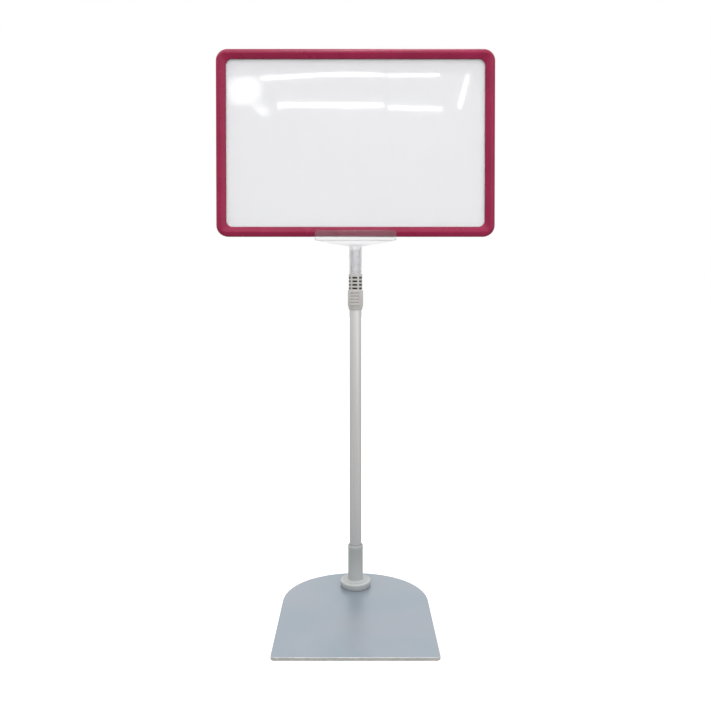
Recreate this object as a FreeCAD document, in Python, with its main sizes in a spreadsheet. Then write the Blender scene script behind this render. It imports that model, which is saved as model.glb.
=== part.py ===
"""Telescopic sign stand: steel foot, two-part pole with a clamp lock, clear T-piece and card frame.

Millimetres, +Z up, the front towards -Y. The origin is the middle of the foot's underside.
Every driving size is a cell of the spreadsheet, and every sketch and feature is bound to those cells.
"""
import FreeCAD, Part
import math
import os

import Sketcher

Vector = FreeCAD.Vector
doc = FreeCAD.newDocument("sign_stand")

# Driving dimensions: cell alias and value.
SIZES = {
    # Foot plate: straight sides, then a corner arc each side that runs into one wide rear arc.
    "plate_width": 146.0,
    "plate_depth": 177.8,
    "plate_thick": 3.0,
    "plate_rear_radius": 79.9,
    "plate_side_radius": 65.3,
    "plate_front_radius": 4.0,
    "plate_edge_break": 0.5,
    "pole_y": 57.0,
    # Socket, with its screw and nut.
    "flange_radius": 16.0,
    "flange_foot_radius": 15.3,
    "flange_top_z": 9.7,
    "flange_rim_radius": 1.6,
    "socket_radius": 7.85,
    "socket_top_z": 46.5,
    "socket_floor_z": 12.5,
    "socket_lip": 0.7,
    "screw_radius": 2.5,
    "screw_hole_radius": 2.65,
    "screw_head_radius": 5.0,
    "screw_tip_z": 12.3,
    "screw_recess_depth": 1.6,
    "nut_flats": 8.0,
    "nut_bottom_z": 8.0,
    "nut_height": 4.0,
    # Pole.
    "outer_radius": 6.25,
    "outer_bore": 5.35,
    "outer_top_z": 314.6,
    "inner_radius": 5.0,
    "inner_bore": 4.2,
    "inner_bottom_z": 74.8,
    "inner_top_z": 357.0,
    "running_gap": 0.08,
    "bush_flange": 4.0,
    "bush_spigot": 12.0,
    "cap_head": 1.5,
    "cap_spigot": 10.0,
    # Lock.
    "lock_turn": -6.5,
    "cage_radius": 7.05,
    "cage_bottom_z": 306.0,
    "cage_shoulder_z": 314.8,
    "cage_top_z": 332.1,
    "cage_top_wall": 1.5,
    "window_width": 5.1,
    "window_height": 1.85,
    "window_pitch": 3.7,
    "window_first_z": 316.5,
    "liner_radius": 5.95,
    "collar_radius": 7.98,
    "collar_foot_radius": 6.9,
    "collar_bottom_z": 294.3,
    "collar_taper_z": 299.6,
    "collar_shelf_z": 300.0,
    "collar_top_z": 314.8,
    "rib_width": 9.2,
    "rib_height": 2.1,
    "rib_pitch": 3.3,
    "rib_first_z": 299.0,
    "rib_reach": 8.5,
    # Clear T-piece.
    "stem_bottom_radius": 6.2,
    "stem_top_radius": 6.55,
    "stem_bottom_z": 332.4,
    "stem_bore_top_z": 358.8,
    "stem_crown": 1.6,
    "web_half_width": 42.5,
    "web_bottom_z": 360.0,
    "web_end_z": 367.2,
    "web_thick": 4.0,
    "channel_floor_z": 368.6,
    "channel_top_z": 377.2,
    "channel_corner": 2.2,
    "lip_thick": 1.5,
    "lip_round": 0.4,
    "pad_width": 13.2,
    "pad_height": 3.8,
    "pad_raise": 0.35,
    "pad_gap": 1.4,
    # Frame.
    "frame_width": 291.0,
    "frame_height": 195.2,
    "frame_bottom_z": 370.6,
    "frame_bar": 10.35,
    "frame_corner": 12.0,
    "window_corner": 6.5,
    "front_depth": 5.2,
    "rear_depth": 3.6,
    "front_outer_chamfer": 2.6,
    "front_inner_chamfer": 2.0,
    "rear_chamfer": 1.0,
    "recess_depth": 1.4,
    "recess_half_width": 140.7,
    "recess_bottom_z": 379.0,
    "peg_radius": 1.2,
    "peg_length": 2.0,
    "peg_side_pitch": 48.0,
    "peg_bottom_pitch": 50.0,
    # Pocket and card.
    "pocket_half_width": 140.2,
    "pocket_bottom_z": 379.1,
    "pocket_top_z": 562.0,
    "sheet_thick": 0.4,
    "pocket_depth": 1.7,
    "card_width": 279.4,
    "card_height": 177.8,
    "card_thick": 0.4,
    "card_bottom_z": 379.6,
}
WINDOW_ROWS = 4
WINDOW_COLUMNS = 6
RIB_COUNT = 5
SIDE_PEGS = 4
BOTTOM_PEGS = 6

sheet = doc.addObject("Spreadsheet::Sheet", "Sizes")
for row, (alias, size) in enumerate(SIZES.items(), start=1):
    sheet.set(f"A{row}", alias)
    sheet.set(f"B{row}", str(size))
    sheet.setAlias(f"B{row}", alias)
doc.recompute()


def cell(formula):
    """A formula in cell aliases, written as FreeCAD wants it: each alias behind the sheet's name."""
    words = formula.replace("(", " ( ").replace(")", " ) ").split()
    return " ".join(f"Sizes.{word}" if word in SIZES else word for word in words)


def value(formula):
    """The number that a formula in cell aliases gives."""
    result = sheet.evalExpression(cell(formula))
    return float(getattr(result, "Value", result))


def new_body(label, y="pole_y", turn=None):
    """A body whose local Z axis is the pole's axis, or another upright line at the given y."""
    body = doc.addObject("PartDesign::Body", label)
    body.Label = label
    body.setExpression("Placement.Base.y", cell(y))
    if turn:
        body.setExpression("Placement.Rotation.Angle", cell(turn))
    doc.recompute()
    return body


def new_sketch(body, name, plane, offset=None):
    """A sketch on one of the body's origin planes, moved along its normal by a formula."""
    sketch = body.newObject("Sketcher::SketchObject", f"{body.Label}_{name}")
    support = next(item for item in body.Origin.OriginFeatures if item.Role == plane)
    sketch.AttachmentSupport = [(support, "")]
    sketch.MapMode = "FlatFace"
    if offset:
        sketch.setExpression("AttachmentOffset.Base.z", cell(offset))
    return sketch


def bind(sketch, constraint, formula):
    """Adds a dimension to a sketch and binds it to the sheet."""
    index = sketch.addConstraint(constraint)
    sketch.setExpression(f"Constraints[{index}]", cell(formula))


def place(sketch, geometry, point, x, y):
    """Holds one point of a sketch at two formulas, measured from the sketch's origin."""
    bind(sketch, Sketcher.Constraint("DistanceX", -1, 1, geometry, point, value(x)), x)
    bind(sketch, Sketcher.Constraint("DistanceY", -1, 1, geometry, point, value(y)), y)


def outline(sketch, points):
    """A closed outline of straight lines through points that are pairs of formulas."""
    corners = [Vector(value(x), value(y), 0) for x, y in points]
    first = sketch.GeometryCount
    count = len(corners)
    for index in range(count):
        line = Part.LineSegment(corners[index], corners[(index + 1) % count])
        sketch.addGeometry(line, False)
    for index in range(count):
        after = first + (index + 1) % count
        sketch.addConstraint(Sketcher.Constraint("Coincident", first + index, 2, after, 1))
    for index, (x, y) in enumerate(points):
        place(sketch, first + index, 1, x, y)


def rectangle(sketch, x_low, y_low, x_high, y_high):
    outline(sketch, [(x_low, y_low), (x_high, y_low), (x_high, y_high), (x_low, y_high)])


def circle(sketch, radius, x="0", y="0"):
    centre = Vector(value(x), value(y), 0)
    index = sketch.addGeometry(Part.Circle(centre, Vector(0, 0, 1), value(radius)), False)
    bind(sketch, Sketcher.Constraint("Radius", index, value(radius)), radius)
    place(sketch, index, 3, x, y)


def pad(body, sketch, length, name, midplane=False, backwards=False):
    feature = body.newObject("PartDesign::Pad", f"{body.Label}_{name}")
    feature.Profile = sketch
    feature.Midplane = midplane
    feature.Reversed = backwards
    feature.setExpression("Length", cell(length))
    doc.recompute()
    return feature


def pocket(body, sketch, name, length=None, backwards=False):
    """Cuts the sketch out of the body, by a length or right through, and checks that it did cut."""
    before = body.Shape.Volume
    feature = body.newObject("PartDesign::Pocket", f"{body.Label}_{name}")
    feature.Profile = sketch
    feature.Reversed = backwards
    if length:
        feature.setExpression("Length", cell(length))
    else:
        feature.Type = "ThroughAll"
    doc.recompute()
    check_cut(body, before, name)
    return feature


def check_cut(body, before, name):
    if body.Shape.Volume >= before - 1e-3:
        raise RuntimeError(f"{body.Label}: {name} removed nothing")


def revolve(body, points, name="turned"):
    """A turned solid about the pole's axis from (radius, height) formulas."""
    sketch = new_sketch(body, f"{name}_profile", "XZ_Plane")
    outline(sketch, points)
    feature = body.newObject("PartDesign::Revolution", f"{body.Label}_{name}")
    feature.Profile = sketch
    feature.ReferenceAxis = (sketch, ["V_Axis"])
    feature.Angle = 360.0
    doc.recompute()
    return feature


def ring(body, outer, inner, bottom, height):
    """A plain tube: two circles and a pad."""
    sketch = new_sketch(body, "section", "XY_Plane", bottom)
    circle(sketch, outer)
    circle(sketch, inner)
    return pad(body, sketch, height, "wall")


def edge_names(shape, wanted):
    return [f"Edge{index}" for index, edge in enumerate(shape.Edges, start=1) if wanted(edge)]


def fillet(body, name, radius, wanted):
    base = body.Tip
    names = edge_names(base.Shape, wanted)
    feature = body.newObject("PartDesign::Fillet", f"{body.Label}_{name}")
    feature.Base = (base, names)
    feature.setExpression("Radius", cell(radius))
    doc.recompute()


def chamfer(body, name, size, wanted):
    base = body.Tip
    names = edge_names(base.Shape, wanted)
    feature = body.newObject("PartDesign::Chamfer", f"{body.Label}_{name}")
    feature.Base = (base, names)
    feature.setExpression("Size", cell(size))
    doc.recompute()


def polar(body, feature, count, name):
    """Repeats a feature round the pole's axis."""
    before = body.Shape.Volume
    pattern = body.newObject("PartDesign::PolarPattern", f"{body.Label}_{name}")
    pattern.Originals = [feature]
    axis = next(item for item in body.Origin.OriginFeatures if item.Role == "Z_Axis")
    pattern.Axis = (axis, [""])
    pattern.Angle = 360.0
    pattern.Occurrences = count
    body.Tip = pattern
    doc.recompute()
    if abs(body.Shape.Volume - before) < 1e-3:
        raise RuntimeError(f"{body.Label}: {name} repeated nothing")


def is_circle_at(radius, height):
    """Picks a level circle of this radius at this height."""
    def test(edge):
        curve = edge.Curve
        if not isinstance(curve, Part.Circle):
            return False
        same_height = abs(edge.BoundBox.ZMin - height) < 0.01 and edge.BoundBox.ZLength < 0.01
        return same_height and abs(curve.Radius - radius) < 0.01
    return test


def runs_along(edge, direction):
    """True for a straight edge in this direction."""
    if not isinstance(edge.Curve, Part.Line):
        return False
    return abs(abs(edge.tangentAt(edge.FirstParameter).dot(direction)) - 1.0) < 1e-6


def on_upright_plane(edge, distance):
    """True for an edge that lies in the plane at this distance in front of or behind the body's axis."""
    box = edge.BoundBox
    return box.YLength < 0.01 and abs(abs(box.YMin) - distance) < 0.01


def base_plate():
    """Sheet-steel foot. Its outline is one loop of tangent lines and arcs, and the screw comes from below."""
    body = new_body("base_plate", y="0")
    sketch = new_sketch(body, "outline", "XY_Plane")
    half_width = value("plate_width / 2")
    front = value("-1 * plate_depth / 2")
    rear_radius = value("plate_rear_radius")
    side_radius = value("plate_side_radius")
    rear_centre = Vector(0, value("plate_depth / 2 - plate_rear_radius"), 0)
    side_x = half_width - side_radius
    gap = rear_radius - side_radius
    side_y = rear_centre.y + math.sqrt(gap**2 - side_x**2)
    meeting = math.atan2(side_y - rear_centre.y, side_x)
    up = Vector(0, 0, 1)
    front_right = Vector(half_width, front, 0)
    front_left = Vector(-half_width, front, 0)
    side_right = Part.Circle(Vector(side_x, side_y, 0), up, side_radius)
    side_left = Part.Circle(Vector(-side_x, side_y, 0), up, side_radius)
    rear = Part.Circle(rear_centre, up, rear_radius)
    sketch.addGeometry([
        Part.LineSegment(front_left, front_right),
        Part.LineSegment(front_right, Vector(half_width, side_y, 0)),
        Part.ArcOfCircle(side_right, 0, meeting),
        Part.ArcOfCircle(rear, meeting, math.pi - meeting),
        Part.ArcOfCircle(side_left, math.pi - meeting, math.pi),
        Part.LineSegment(Vector(-half_width, side_y, 0), front_left),
    ], False)
    sketch.addConstraint(Sketcher.Constraint("Coincident", 0, 2, 1, 1))
    sketch.addConstraint(Sketcher.Constraint("Coincident", 5, 2, 0, 1))
    for first, last in ((1, 2), (2, 3), (3, 4), (4, 5)):
        sketch.addConstraint(Sketcher.Constraint("Tangent", first, 2, last, 1))
    sketch.addConstraint(Sketcher.Constraint("Vertical", 1))
    sketch.addConstraint(Sketcher.Constraint("Vertical", 5))
    place(sketch, 0, 1, "-1 * plate_width / 2", "-1 * plate_depth / 2")
    place(sketch, 0, 2, "plate_width / 2", "-1 * plate_depth / 2")
    place(sketch, 3, 3, "0", "plate_depth / 2 - plate_rear_radius")
    bind(sketch, Sketcher.Constraint("Radius", 3, rear_radius), "plate_rear_radius")
    bind(sketch, Sketcher.Constraint("Radius", 2, side_radius), "plate_side_radius")
    bind(sketch, Sketcher.Constraint("Radius", 4, side_radius), "plate_side_radius")
    pad(body, sketch, "plate_thick", "sheet")

    def front_corner(edge):
        return runs_along(edge, Vector(0, 0, 1)) and edge.BoundBox.YMin < front + 1

    fillet(body, "front_corners", "plate_front_radius", front_corner)
    top = value("plate_thick")
    fillet(body, "top_edge", "plate_edge_break", lambda edge: edge.BoundBox.ZMin > top - 0.01)
    countersink(body)


def countersink(body):
    """The screw's hole: a cone that opens downwards, and a clearance hole above it."""
    before = body.Shape.Volume
    sketch = new_sketch(body, "screw_hole_profile", "YZ_Plane")
    wide = "pole_y + screw_head_radius + 0.2"
    narrow = "pole_y + screw_hole_radius"
    cone = "screw_head_radius + 0.2 - screw_hole_radius"
    points = [("pole_y", "-1"), (wide, "-1"), (wide, "0"), (narrow, cone)]
    points += [(narrow, "plate_thick + 1"), ("pole_y", "plate_thick + 1")]
    outline(sketch, points)
    feature = body.newObject("PartDesign::Groove", "base_plate_screw_hole")
    feature.Profile = sketch
    feature.ReferenceAxis = (sketch, ["Edge6"])
    feature.Angle = 360.0
    doc.recompute()
    check_cut(body, before, "screw_hole")


def base_socket():
    """Moulded flange and socket in one, with a hexagonal nut pocket in its floor."""
    body = new_body("base_socket")
    revolve(body, [
        ("screw_hole_radius", "plate_thick"),
        ("flange_foot_radius", "plate_thick"),
        ("flange_radius", "flange_top_z"),
        ("socket_radius", "flange_top_z"),
        ("socket_radius", "socket_top_z"),
        ("outer_radius", "socket_top_z"),
        ("outer_radius", "socket_floor_z"),
        ("screw_hole_radius", "socket_floor_z"),
    ])
    flange_rim = is_circle_at(value("flange_radius"), value("flange_top_z"))
    fillet(body, "rim", "flange_rim_radius", flange_rim)
    root = is_circle_at(value("socket_radius"), value("flange_top_z"))
    fillet(body, "root", "socket_lip", root)
    lip = is_circle_at(value("socket_radius"), value("socket_top_z"))
    chamfer(body, "lip", "socket_lip", lip)
    sketch = new_sketch(body, "nut_pocket", "XY_Plane", "nut_bottom_z")
    hexagon(sketch, "nut_flats + 0.1")
    pocket(body, sketch, "nut_seat", "socket_floor_z - nut_bottom_z", backwards=True)


def hexagon(sketch, flats):
    """A hexagon about the origin with this size across its flats, one flat facing the front."""
    corner = f"( {flats} ) * {1 / math.sqrt(3):.9f}"
    half = f"( {flats} ) / 2"
    outline(sketch, [
        (f"{corner}", "0"),
        (f"{corner} / 2", half),
        (f"-1 * {corner} / 2", half),
        (f"-1 * {corner}", "0"),
        (f"-1 * {corner} / 2", f"-1 * {half}"),
        (f"{corner} / 2", f"-1 * {half}"),
    ])


def base_screw():
    """Countersunk screw whose head sits just inside the plate, with a cross recess."""
    body = new_body("base_screw")
    head = "0.2"
    neck = "0.2 + screw_head_radius - screw_radius"
    revolve(body, [
        ("0", head),
        ("screw_head_radius", head),
        ("screw_radius", neck),
        ("screw_radius", "screw_tip_z - 0.6"),
        ("screw_radius - 0.6", "screw_tip_z"),
        ("0", "screw_tip_z"),
    ])
    arm = "screw_head_radius * 0.55"
    half = "0.5"
    sketch = new_sketch(body, "cross", "XY_Plane", head)
    outline(sketch, [
        (half, half), (half, arm), (f"-1 * {half}", arm), (f"-1 * {half}", half),
        (f"-1 * {arm}", half), (f"-1 * {arm}", f"-1 * {half}"),
        (f"-1 * {half}", f"-1 * {half}"), (f"-1 * {half}", f"-1 * {arm}"),
        (half, f"-1 * {arm}"), (half, f"-1 * {half}"),
        (arm, f"-1 * {half}"), (arm, half),
    ])
    pocket(body, sketch, "recess", "screw_recess_depth", backwards=True)


def base_nut():
    body = new_body("base_nut")
    sketch = new_sketch(body, "section", "XY_Plane", "nut_bottom_z")
    hexagon(sketch, "nut_flats")
    circle(sketch, "screw_radius")
    pad(body, sketch, "nut_height", "blank")


def outer_tube():
    body = new_body("outer_tube")
    height = "outer_top_z - socket_floor_z"
    ring(body, "outer_radius", "outer_bore", "socket_floor_z", height)


def inner_tube():
    body = new_body("inner_tube")
    height = "inner_top_z - inner_bottom_z"
    ring(body, "inner_radius", "inner_bore", "inner_bottom_z", height)


def guide_bush():
    """Plug in the lower end of the inner tube, whose flange runs in the outer tube."""
    body = new_body("guide_bush")
    revolve(body, [
        ("0", "inner_bottom_z - bush_flange"),
        ("outer_bore - running_gap", "inner_bottom_z - bush_flange"),
        ("outer_bore - running_gap", "inner_bottom_z"),
        ("inner_bore", "inner_bottom_z"),
        ("inner_bore", "inner_bottom_z + bush_spigot"),
        ("0", "inner_bottom_z + bush_spigot"),
    ])


def tube_cap():
    """Plug in the upper end of the inner tube, on which the T-piece rests and turns."""
    body = new_body("tube_cap")
    revolve(body, [
        ("0", "inner_top_z - cap_spigot"),
        ("inner_bore", "inner_top_z - cap_spigot"),
        ("inner_bore", "inner_top_z"),
        ("inner_radius", "inner_top_z"),
        ("inner_radius - 0.8", "inner_top_z + cap_head"),
        ("0", "inner_top_z + cap_head"),
    ])


def lock_cage():
    """Clamp sleeve: a skirt on the outer tube, and columns of windows above it."""
    body = new_body("lock_cage", turn="lock_turn")
    revolve(body, [
        ("outer_radius", "cage_bottom_z"),
        ("cage_radius", "cage_bottom_z"),
        ("cage_radius", "cage_top_z - 0.5"),
        ("cage_radius - 0.5", "cage_top_z"),
        ("inner_radius + running_gap", "cage_top_z"),
        ("inner_radius + running_gap", "cage_top_z - cage_top_wall"),
        ("liner_radius", "cage_top_z - cage_top_wall"),
        ("liner_radius", "cage_shoulder_z"),
        ("outer_radius", "cage_shoulder_z"),
    ])
    sketch = new_sketch(body, "windows", "XZ_Plane")
    for row in range(WINDOW_ROWS):
        low = f"window_first_z + {row} * window_pitch - window_height / 2"
        high = f"window_first_z + {row} * window_pitch + window_height / 2"
        rectangle(sketch, "-1 * window_width / 2", low, "window_width / 2", high)
    column = pocket(body, sketch, "window_column", "cage_radius + 1", backwards=True)
    polar(body, column, WINDOW_COLUMNS, "window_columns")


def grip_liner():
    """Rubber sleeve behind the windows, which holds the inner tube by friction."""
    body = new_body("grip_liner")
    height = "cage_top_z - cage_top_wall - cage_shoulder_z"
    ring(body, "liner_radius", "inner_radius + running_gap", "cage_shoulder_z", height)


def lock_collar():
    """Slider with thumb ribs at its front and back, tapered down to the outer tube."""
    body = new_body("lock_collar", turn="lock_turn")
    revolve(body, [
        ("0", "collar_bottom_z"),
        ("collar_foot_radius", "collar_bottom_z"),
        ("collar_radius", "collar_taper_z"),
        ("collar_radius", "collar_top_z - 0.4"),
        ("collar_radius - 0.4", "collar_top_z"),
        ("0", "collar_top_z"),
    ])
    sketch = new_sketch(body, "ribs", "XZ_Plane")
    for row in range(RIB_COUNT):
        low = f"rib_first_z + {row} * rib_pitch"
        high = f"rib_first_z + {row} * rib_pitch + rib_height"
        rectangle(sketch, "-1 * rib_width / 2", low, "rib_width / 2", high)
    ribs = pad(body, sketch, "rib_reach", "thumb_ribs")
    polar(body, ribs, 2, "both_sides")
    wide = new_sketch(body, "cage_bore", "XY_Plane", "collar_shelf_z")
    circle(wide, "cage_radius + running_gap")
    pocket(body, wide, "cage_room", backwards=True)
    narrow = new_sketch(body, "tube_bore", "XY_Plane", "collar_bottom_z - 1")
    circle(narrow, "outer_radius + running_gap")
    pocket(body, narrow, "tube_room", backwards=True)


def t_holder():
    """Clear T-piece: stem over the inner tube, fan web, and a channel that grips the frame."""
    body = new_body("t_holder")
    revolve(body, [
        ("0", "stem_bottom_z"),
        ("stem_bottom_radius", "stem_bottom_z"),
        ("stem_top_radius", "web_bottom_z"),
        ("stem_top_radius - 1", "web_bottom_z + stem_crown"),
        ("0", "web_bottom_z + stem_crown"),
    ], "stem")
    web = new_sketch(body, "web", "XZ_Plane")
    outline(web, [
        ("-1 * stem_top_radius + 1", "web_bottom_z"),
        ("stem_top_radius - 1", "web_bottom_z"),
        ("web_half_width", "web_end_z"),
        ("web_half_width", "frame_bottom_z"),
        ("-1 * web_half_width", "frame_bottom_z"),
        ("-1 * web_half_width", "web_end_z"),
    ])
    pad(body, web, "web_thick", "web", midplane=True)
    channel(body)
    bore = new_sketch(body, "bore", "XY_Plane", "stem_bottom_z")
    circle(bore, "inner_radius + running_gap")
    pocket(body, bore, "bore", "stem_bore_top_z - stem_bottom_z", backwards=True)


def channel(body):
    """The channel's two lips and floor, cut from one block, and two blank raised pads in front."""
    block = new_sketch(body, "block", "XZ_Plane")
    cut = "channel_corner"
    outline(block, [
        (f"-1 * web_half_width + {cut}", "channel_floor_z - 1.5"),
        (f"web_half_width - {cut}", "channel_floor_z - 1.5"),
        ("web_half_width", f"channel_floor_z - 1.5 + {cut}"),
        ("web_half_width", f"channel_top_z - {cut}"),
        (f"web_half_width - {cut}", "channel_top_z"),
        (f"-1 * web_half_width + {cut}", "channel_top_z"),
        ("-1 * web_half_width", f"channel_top_z - {cut}"),
        ("-1 * web_half_width", f"channel_floor_z - 1.5 + {cut}"),
    ])
    depth = "front_depth + rear_depth + 2 * lip_thick"
    pad(body, block, depth, "block", midplane=True)
    gap = new_sketch(body, "gap", "YZ_Plane", "-1 * web_half_width - 1")
    half = "( front_depth + rear_depth ) / 2"
    rectangle(gap, f"-1 * {half}", "frame_bottom_z", half, "channel_top_z + 1")
    pocket(body, gap, "gap", backwards=True)
    outside = value(f"{half} + lip_thick")
    floor = value("channel_floor_z")
    fillet(body, "lip_round", "lip_round",
           lambda edge: on_upright_plane(edge, outside) and edge.BoundBox.ZMax > floor)
    pads = new_sketch(body, "blank_pads", "XZ_Plane", f"{half} + lip_thick")
    top = "channel_top_z - 0.3"
    low = "channel_top_z - 0.3 - pad_height"
    rectangle(pads, "-1 * pad_gap / 2 - pad_width", low, "-1 * pad_gap / 2", top)
    rectangle(pads, "pad_gap / 2", low, "pad_gap / 2 + pad_width", top)
    pad(body, pads, "pad_raise", "blank_pads")


def frame_ring(label, depth, backwards):
    """One half of the frame: a rounded rectangle with a rounded window, padded off the parting plane."""
    body = new_body(label, y="pole_y + ( front_depth - rear_depth ) / 2")
    sketch = new_sketch(body, "outline", "XZ_Plane")
    top = "frame_bottom_z + frame_height"
    rectangle(sketch, "-1 * frame_width / 2", "frame_bottom_z", "frame_width / 2", top)
    inside = "frame_width / 2 - frame_bar"
    window_top = f"{top} - frame_bar"
    rectangle(sketch, f"-1 * ( {inside} )", "frame_bottom_z + frame_bar", inside, window_top)
    pad(body, sketch, depth, "bars", backwards=backwards)
    reach = value("frame_width / 2") - 1

    def outer_corner(edge):
        return runs_along(edge, Vector(0, 1, 0)) and abs(edge.CenterOfMass.x) > reach

    def inner_corner(edge):
        return runs_along(edge, Vector(0, 1, 0)) and abs(edge.CenterOfMass.x) < reach

    fillet(body, "outer_corners", "frame_corner", outer_corner)
    fillet(body, "window_corners", "window_corner", inner_corner)
    return body


def face_edges(plane_y, inner):
    """Picks the outer or the window loop of edges that lie on an upright plane."""
    window_x = value("frame_width / 2 - frame_bar") + 0.01
    window_low = value("frame_bottom_z + frame_bar") - 0.01
    window_high = value("frame_bottom_z + frame_height - frame_bar") + 0.01

    def test(edge):
        box = edge.BoundBox
        flat = abs(box.YMin - plane_y) < 0.01 and box.YLength < 0.01
        across = abs(box.XMin) < window_x and abs(box.XMax) < window_x
        within = across and box.ZMin > window_low and box.ZMax < window_high
        return flat and within == inner
    return test


def peg_centres():
    """Formulas of the peg positions: a row up each side and a row along the bottom."""
    side_x = "( recess_half_width + frame_width / 2 ) / 2"
    centres = []
    for row in range(SIDE_PEGS):
        height = f"frame_bottom_z + frame_height / 2 + {row - (SIDE_PEGS - 1) / 2} * peg_side_pitch"
        centres += [(side_x, height), (f"-1 * {side_x}", height)]
    bottom_z = "( recess_bottom_z + frame_bottom_z ) / 2"
    for column in range(BOTTOM_PEGS):
        centres.append((f"{column - (BOTTOM_PEGS - 1) / 2} * peg_bottom_pitch", bottom_z))
    return centres


def pocket_recess(body, backwards):
    """Half of the room in which the card pocket slides, open at the top."""
    recess = new_sketch(body, "recess", "XZ_Plane")
    top = "frame_bottom_z + frame_height + 1"
    rectangle(recess, "-1 * recess_half_width", "recess_bottom_z", "recess_half_width", top)
    pocket(body, recess, "recess", "recess_depth", backwards=backwards)


def front_frame():
    body = frame_ring("front_frame", "front_depth", backwards=False)
    plane_y = -value("front_depth")
    chamfer(body, "outer_slope", "front_outer_chamfer", face_edges(plane_y, inner=False))
    chamfer(body, "inner_slope", "front_inner_chamfer", face_edges(plane_y, inner=True))
    pocket_recess(body, backwards=True)
    holes = new_sketch(body, "peg_holes", "XZ_Plane")
    for x, z in peg_centres():
        circle(holes, "peg_radius", x, z)
    pocket(body, holes, "peg_holes", "peg_length + 0.2", backwards=True)


def rear_frame():
    body = frame_ring("rear_frame", "rear_depth", backwards=True)
    plane_y = value("rear_depth")
    chamfer(body, "outer_edge", "rear_chamfer", face_edges(plane_y, inner=False))
    pocket_recess(body, backwards=False)
    pegs = new_sketch(body, "pegs", "XZ_Plane")
    for x, z in peg_centres():
        circle(pegs, "peg_radius", x, z)
    pad(body, pegs, "peg_length", "pegs")


def card_pocket():
    """Clear sheet folded along its lower edge, open at its top and sides."""
    body = new_body("card_pocket", y="pole_y + ( front_depth - rear_depth ) / 2")
    sketch = new_sketch(body, "fold", "YZ_Plane")
    outside = "pocket_depth / 2"
    inside = "pocket_depth / 2 - sheet_thick"
    outline(sketch, [
        (f"-1 * {outside}", "pocket_bottom_z"),
        (outside, "pocket_bottom_z"),
        (outside, "pocket_top_z"),
        (inside, "pocket_top_z"),
        (inside, "pocket_bottom_z + sheet_thick"),
        (f"-1 * ( {inside} )", "pocket_bottom_z + sheet_thick"),
        (f"-1 * ( {inside} )", "pocket_top_z"),
        (f"-1 * {outside}", "pocket_top_z"),
    ])
    pad(body, sketch, "2 * pocket_half_width", "sheet", midplane=True)


def sign_card():
    body = new_body("sign_card", y="pole_y + ( front_depth - rear_depth ) / 2")
    sketch = new_sketch(body, "outline", "XZ_Plane")
    top = "card_bottom_z + card_height"
    rectangle(sketch, "-1 * card_width / 2", "card_bottom_z", "card_width / 2", top)
    pad(body, sketch, "card_thick", "board", midplane=True)


def check_and_write():
    """Refuses a failed object or a bad shape, then writes one STEP file for each sub-part."""
    doc.recompute()
    for item in doc.Objects:
        if "Invalid" in item.State or "Error" in item.State:
            raise RuntimeError(f"{item.Label}: {item.State}")
    os.makedirs("parts", exist_ok=True)
    for body in doc.findObjects("PartDesign::Body"):
        shape = body.Shape
        if shape.isNull() or not shape.isValid() or len(shape.Solids) != 1:
            raise RuntimeError(f"{body.Label}: not one valid solid")
        shape.exportStep(f"parts/{body.Label}.step")
        box = shape.BoundBox
        print(f"{body.Label:12s} {shape.Volume / 1000:8.2f} cm3  "
              f"x {box.XMin:7.2f} {box.XMax:7.2f}  y {box.YMin:7.2f} {box.YMax:7.2f}  "
              f"z {box.ZMin:7.2f} {box.ZMax:7.2f}")


for build in (base_plate, base_socket, base_screw, base_nut, outer_tube, lock_cage, grip_liner,
              lock_collar, inner_tube, guide_bush, tube_cap, t_holder, front_frame, rear_frame,
              card_pocket, sign_card):
    build()
check_and_write()
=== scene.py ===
# %% [markdown]
# # A sign stand for a shop counter or a museum case
# The real stand is a sheet-steel foot, a telescopic pole with a small plastic clamp, a clear T-piece
# and a crimson frame that holds a card behind a clear sheet. The CAD frame gives every place and
# size. This lesson gives each piece its finish, and remodels those whose moulded or rolled edges
# are too soft for plain CAD solids.

# %% Load the CAD frame
import math

import bmesh
import bpy
from mathutils import Matrix, Vector


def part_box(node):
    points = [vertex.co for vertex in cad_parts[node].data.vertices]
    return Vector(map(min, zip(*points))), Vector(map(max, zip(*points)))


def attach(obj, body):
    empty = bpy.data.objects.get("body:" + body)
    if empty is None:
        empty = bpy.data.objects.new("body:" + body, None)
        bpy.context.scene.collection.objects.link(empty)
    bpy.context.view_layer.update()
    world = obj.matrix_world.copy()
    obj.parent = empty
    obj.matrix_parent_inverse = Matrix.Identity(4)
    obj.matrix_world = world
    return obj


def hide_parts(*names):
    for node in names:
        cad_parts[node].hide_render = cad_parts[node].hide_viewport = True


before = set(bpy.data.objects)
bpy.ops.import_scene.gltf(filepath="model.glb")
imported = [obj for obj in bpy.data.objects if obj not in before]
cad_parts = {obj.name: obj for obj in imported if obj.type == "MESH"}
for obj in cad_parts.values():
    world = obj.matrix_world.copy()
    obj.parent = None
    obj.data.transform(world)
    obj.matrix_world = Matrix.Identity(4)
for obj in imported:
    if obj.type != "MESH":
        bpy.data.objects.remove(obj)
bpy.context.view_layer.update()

MM = 0.001
scene = bpy.context.scene

# %% [markdown]
# ## Places worked out from the frame
# The tubes share one upright axis, and the two halves of the card frame meet in one upright plane.
# Reading both from the CAD boxes means that nothing here has to be fitted by eye.

# %% Axis of the pole and parting plane of the frame
tube_low, tube_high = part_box("outer_tube")
front_low, front_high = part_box("front_frame")
card_low, card_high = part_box("sign_card")
tee_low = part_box("t_holder")[0]
pole_y = (tube_low.y + tube_high.y) / 2
parting_y = front_high.y
frame_low_z, frame_high_z = front_low.z, front_high.z
print(f"pole axis y {pole_y / MM:.1f}, parting plane y {parting_y / MM:.1f} mm")

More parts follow.
